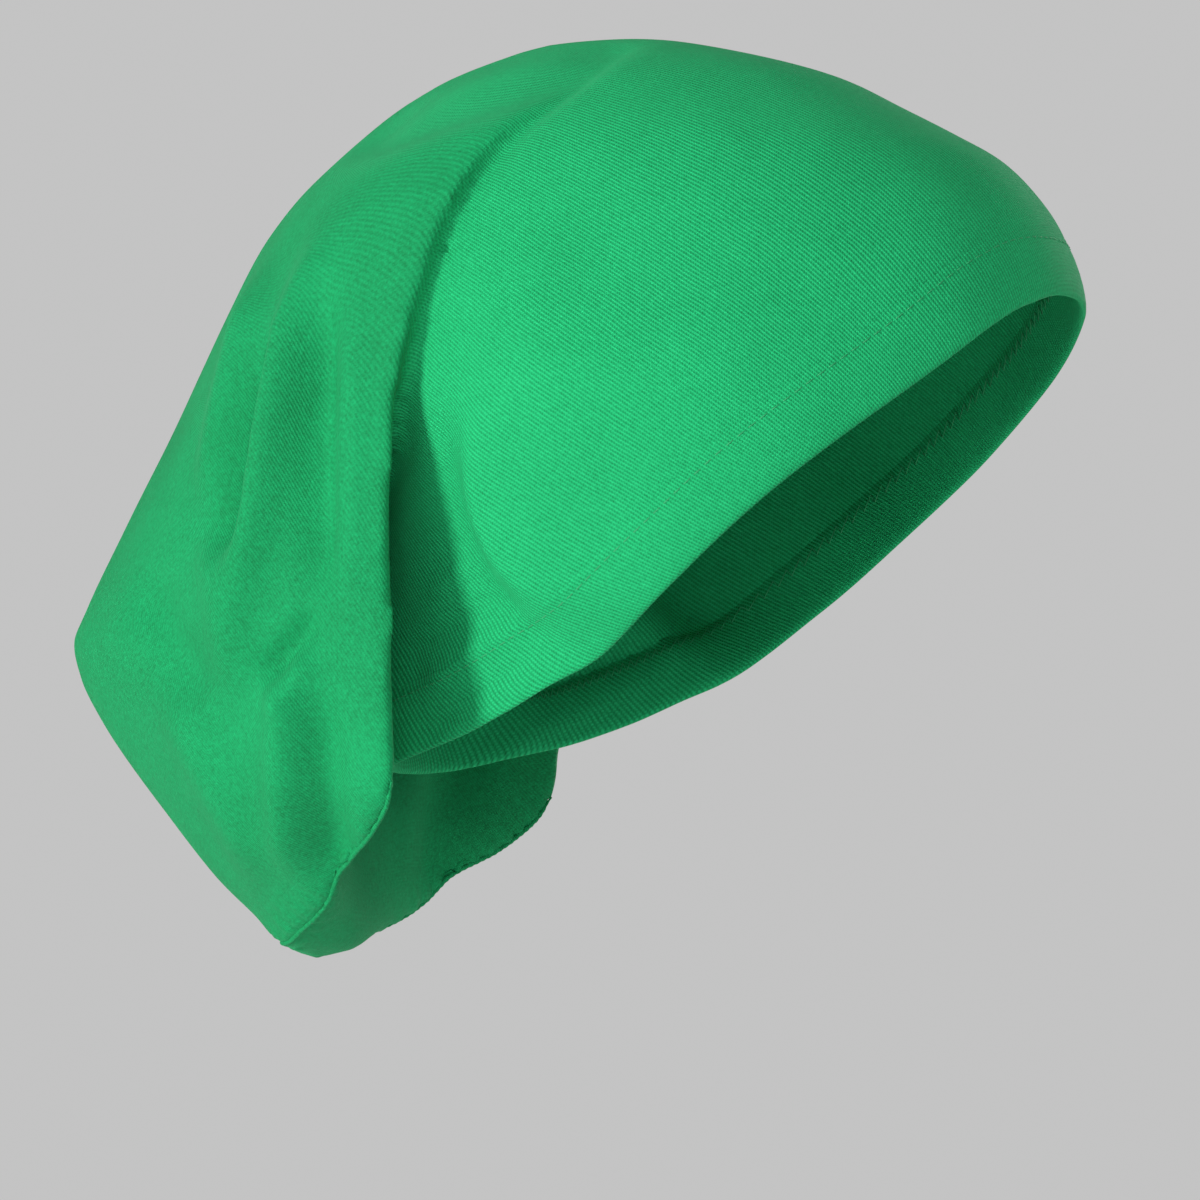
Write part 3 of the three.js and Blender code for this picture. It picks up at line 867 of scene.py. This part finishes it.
class Nodes:
    """Short helper that builds one material's shader nodes."""

    def __init__(self, name):
        self.material = bpy.data.materials.new(name)
        self.material.use_nodes = True
        self.tree = self.material.node_tree
        self.shader = self.tree.nodes["Principled BSDF"]

    def link(self, source, socket):
        self.tree.links.new(source, socket)

    def node(self, kind, inputs=(), **settings):
        made = self.tree.nodes.new(kind)
        for key, value in settings.items():
            setattr(made, key, value)
        for key, value in dict(inputs).items():
            if isinstance(value, bpy.types.NodeSocket):
                self.link(value, made.inputs[key])
            else:
                made.inputs[key].default_value = value
        return made

    def math(self, operation, *values):
        made = self.node("ShaderNodeMath", dict(enumerate(values)), operation=operation)
        return made.outputs[0]

    def along(self, position, direction):
        """Position measured along a direction."""
        made = self.node("ShaderNodeVectorMath", {0: position, 1: direction}, operation="DOT_PRODUCT")
        return made.outputs["Value"]

    def mix(self, factor, first, second):
        made = self.node("ShaderNodeMix", {0: factor, 2: first, 3: second}, data_type="FLOAT")
        return made.outputs[0]

    def noise(self, position, scale, detail):
        made = self.node("ShaderNodeTexNoise", {"Vector": position, "Scale": scale, "Detail": detail})
        return made.outputs["Fac"]

    def ramp(self, value, colours):
        made = self.node("ShaderNodeValToRGB", {"Fac": value})
        ramp = made.color_ramp
        for i, (place, colour) in enumerate(colours):
            stop = ramp.elements[i] if i < 2 else ramp.elements.new(place)
            stop.position = place
            stop.color = (*colour, 1)
        return made.outputs["Color"]

    def bump(self, height, strength, distance, under=None):
        inputs = {"Height": height, "Strength": strength, "Distance": distance}
        if under is not None:
            inputs["Normal"] = under
        return self.node("ShaderNodeBump", inputs).outputs["Normal"]


# Columns of the knit: the head part's run down and back round its tube, the bag's down its slope
HEAD_TUBE_AXIS = (-0.829, 0.0, 0.559)
HEAD_TUBE_UP = (0.559, 0.0, 0.829)
HEAD_TUBE_CENTRE = (0.0, 0.0, -0.075)
HEAD_TUBE_RADIUS = 0.075
BAG_TUBE_AXIS = (0.574, 0.0, -0.819)
BAG_TUBE_ACROSS = (0.819, 0.0, 0.574)
BAG_TUBE_CENTRE = (-0.085, 0.0, -0.130)
BAG_TUBE_RADIUS = 0.085
KNIT_COLUMN = 0.00088
KNIT_ROW = 0.00070
KNIT_LEAN = 1.2
KNIT_LOOP = 0.45
KNIT_STRENGTH, KNIT_DEPTH = 0.60, 0.00014
FUZZ_STRENGTH, FUZZ_DEPTH = 0.25, 0.0003
TWIST_STRENGTH, TWIST_DEPTH = 0.4, 0.0002

# Noise of the cloth: the wander of its columns, broad clouds, fuzz and grain, and the thread's twist
WANDER_SCALE, WANDER_REACH = 55.0, 0.0012
CLOUD_SCALE = 38.0
FUZZ_SCALE = 2600.0
GRAIN_SCALE = 1100.0
TWIST_SCALE = 1800.0

# What each adds to the cloth's colour, and how that changes in the loose bag. The bag's darkening is
# partly the deeper tone of unstretched jersey and partly painted shade, making the bag darker than its
# lighting gives
FUZZ_SHADE = 0.30
GRAIN_SHADE = 0.50
CLOUD_SHADE = 0.30
KNIT_SHADE, KNIT_SHADE_IN_BAG = 0.25, -0.20
LOOSE_TONE_AND_PAINTED_SHADE = -0.32
LOOPS_IN_BAG = -0.55
SHEEN = 0.10
SHEEN_TINT = (0.12, 0.85, 0.38, 1)
GREENS = (
    (0.00, (0.002, 0.120, 0.036)),
    (0.45, (0.004, 0.235, 0.078)),
    (1.00, (0.012, 0.350, 0.125)),
)
THREAD_GREENS = (
    (0.2, (0.003, 0.17, 0.055)),
    (0.8, (0.007, 0.26, 0.090)),
)


def knit_height(nodes, position, centre, axis, across, radius):
    """Height of jersey loops on a tube of cloth, from the columns and the slanted loop sides."""
    moved = nodes.node("ShaderNodeVectorMath", {0: position, 1: centre}, operation="SUBTRACT").outputs[0]
    up = nodes.along(moved, across)
    side = nodes.along(moved, (0.0, 1.0, 0.0))
    along = nodes.along(moved, axis)
    turn = nodes.math("ARCTAN2", up, nodes.math("ABSOLUTE", side))
    column = nodes.math("MULTIPLY", turn, 2 * math.pi * radius / KNIT_COLUMN)
    ridge = nodes.math("COSINE", column)
    lean = nodes.math("MULTIPLY", nodes.math("SINE", column), KNIT_LEAN)
    row = nodes.math("ADD", nodes.math("MULTIPLY", along, 2 * math.pi / KNIT_ROW), lean)
    loops = nodes.math("MULTIPLY", nodes.math("SINE", row), KNIT_LOOP)
    return nodes.math("ADD", ridge, loops)


def jersey():
    nodes = Nodes("green_jersey")
    position = nodes.node("ShaderNodeTexCoord").outputs["Object"]
    wander = nodes.node("ShaderNodeTexNoise", {"Vector": position, "Scale": WANDER_SCALE, "Detail": 1.0})
    drift = {0: wander.outputs["Color"], "Scale": WANDER_REACH}
    shift = nodes.node("ShaderNodeVectorMath", drift, operation="SCALE").outputs[0]
    waved = nodes.node("ShaderNodeVectorMath", {0: position, 1: shift}, operation="ADD").outputs[0]
    head = knit_height(nodes, waved, HEAD_TUBE_CENTRE, HEAD_TUBE_AXIS, HEAD_TUBE_UP, HEAD_TUBE_RADIUS)
    bag = knit_height(nodes, waved, BAG_TUBE_CENTRE, BAG_TUBE_AXIS, BAG_TUBE_ACROSS, BAG_TUBE_RADIUS)
    in_bag = nodes.node("ShaderNodeAttribute", attribute_name="in_bag").outputs["Fac"]
    knit = nodes.mix(in_bag, head, bag)
    cloudy = nodes.noise(position, CLOUD_SCALE, 3.0)
    fuzz = nodes.noise(position, FUZZ_SCALE, 2.0)
    grain = nodes.noise(position, GRAIN_SCALE, 1.0)
    taut = nodes.math("MULTIPLY_ADD", in_bag, KNIT_SHADE_IN_BAG, KNIT_SHADE)
    shade = nodes.math("MULTIPLY_ADD", fuzz, FUZZ_SHADE, nodes.math("MULTIPLY", grain, GRAIN_SHADE))
    shade = nodes.math("MULTIPLY_ADD", cloudy, CLOUD_SHADE, shade)
    shade = nodes.math("ADD", shade, nodes.math("MULTIPLY", knit, taut))
    # Painted shade: the loose bag's colour is darkened, partly for the deeper tone of unstretched jersey
    # and partly to stand in for shade the lights do not give
    shade = nodes.math("MULTIPLY_ADD", in_bag, LOOSE_TONE_AND_PAINTED_SHADE, shade)
    nodes.link(nodes.ramp(shade, GREENS), nodes.shader.inputs["Base Color"])
    soft = nodes.bump(fuzz, FUZZ_STRENGTH, FUZZ_DEPTH)
    loops = nodes.math("MULTIPLY", knit, nodes.math("MULTIPLY_ADD", in_bag, LOOPS_IN_BAG, 1.0))
    knitted = nodes.bump(loops, KNIT_STRENGTH, KNIT_DEPTH, soft)
    nodes.link(knitted, nodes.shader.inputs["Normal"])
    nodes.shader.inputs["Roughness"].default_value = 0.82
    nodes.shader.inputs["Specular IOR Level"].default_value = 0.12
    nodes.shader.inputs["Sheen Weight"].default_value = SHEEN
    nodes.shader.inputs["Sheen Roughness"].default_value = 0.45
    nodes.shader.inputs["Sheen Tint"].default_value = SHEEN_TINT
    return nodes.material


def thread():
    nodes = Nodes("sewing_thread")
    position = nodes.node("ShaderNodeTexCoord").outputs["Object"]
    twist = nodes.noise(position, TWIST_SCALE, 1.0)
    nodes.link(nodes.ramp(twist, THREAD_GREENS), nodes.shader.inputs["Base Color"])
    wound = nodes.bump(twist, TWIST_STRENGTH, TWIST_DEPTH)
    nodes.link(wound, nodes.shader.inputs["Normal"])
    nodes.shader.inputs["Roughness"].default_value = 0.62
    nodes.shader.inputs["Sheen Weight"].default_value = SHEEN
    nodes.shader.inputs["Sheen Tint"].default_value = SHEEN_TINT
    return nodes.material


def plain_material(name, colour, roughness):
    nodes = Nodes(name)
    nodes.shader.inputs["Base Color"].default_value = (*colour, 1)
    nodes.shader.inputs["Roughness"].default_value = roughness
    nodes.shader.inputs["Specular IOR Level"].default_value = 0.1
    return nodes.material


body, bag_tree = build_cap_body()
hem = build_hem_band(bag_tree)
seam = build_end_seam(body)
stitches = build_hem_stitches(bag_tree)

green = jersey()
sewing = thread()
for obj, material in ((body, green), (hem, green), (seam, green), (stitches, sewing)):
    obj.data.materials.clear()
    obj.data.materials.append(material)
    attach(obj, "root")

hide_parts("cap_body")
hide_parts("hem_band")
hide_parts("end_seam")

# Floor below the hanging bag, and a pale backdrop all round
FLOOR_Z = -0.75
FLOOR_SIZE = 40.0
FLOOR_COLOUR = (0.93, 0.93, 0.93)
FLOOR_ROUGHNESS = 0.9
floor_mesh = bpy.data.meshes.new("floor")
half = FLOOR_SIZE / 2
corners = [(-half, -half, FLOOR_Z), (half, -half, FLOOR_Z), (half, half, FLOOR_Z), (-half, half, FLOOR_Z)]
floor_mesh.from_pydata(corners, [], [(0, 1, 2, 3)])
floor = bpy.data.objects.new("floor", floor_mesh)
bpy.context.scene.collection.objects.link(floor)
floor.data.materials.append(plain_material("pale_floor", FLOOR_COLOUR, FLOOR_ROUGHNESS))

WORLD_COLOUR = (1.0, 1.0, 1.0, 1)
WORLD_STRENGTH = 0.55
world = bpy.data.worlds.new("pale_studio")
world.use_nodes = True
world.node_tree.nodes["Background"].inputs["Color"].default_value = WORLD_COLOUR
world.node_tree.nodes["Background"].inputs["Strength"].default_value = WORLD_STRENGTH
bpy.context.scene.world = world


def area_light(name, place, target, size, power):
    light = bpy.data.lights.new(name, "AREA")
    light.shape = "RECTANGLE"
    light.size, light.size_y = size
    light.energy = power
    obj = bpy.data.objects.new(name, light)
    obj.location = place
    obj.rotation_euler = (Vector(target) - Vector(place)).to_track_quat("-Z", "Y").to_euler()
    bpy.context.scene.collection.objects.link(obj)


# Lights aimed at the cap's middle: name, place, size in metres and power in watts
CAP_MIDDLE = (-0.02, 0.0, -0.11)
LIGHTS = (
    ("window", (-1.35, -1.87, -0.1), (0.45, 0.55), 64),
    ("fill", (0.7, -2.1, 0.6), (0.8, 0.8), 24),
    ("back", (0.3, 2.3, 0.4), (0.8, 0.8), 14),
)
for name, place, size, power in LIGHTS:
    area_light(name, place, CAP_MIDDLE, size, power)

turn, rise = math.radians(CAMERA_TURN), math.radians(CAMERA_RISE)
back = Vector((math.sin(turn) * math.cos(rise), -math.cos(turn) * math.cos(rise), math.sin(rise)))
camera = bpy.data.objects.new("camera", bpy.data.cameras.new("camera"))
camera.data.sensor_width = SENSOR
camera.data.lens = SENSOR * CAMERA_DISTANCE / VIEW_WIDTH
camera.data.clip_end = CLIP_END
camera.location = (Vector(CAMERA_AIM) + back * CAMERA_DISTANCE) * MM
camera.rotation_euler = (-back).to_track_quat("-Z", "Y").to_euler()
bpy.context.scene.collection.objects.link(camera)
bpy.context.scene.camera = camera

view = bpy.context.scene.view_settings
view.view_transform = "Standard"
view.look = "None"
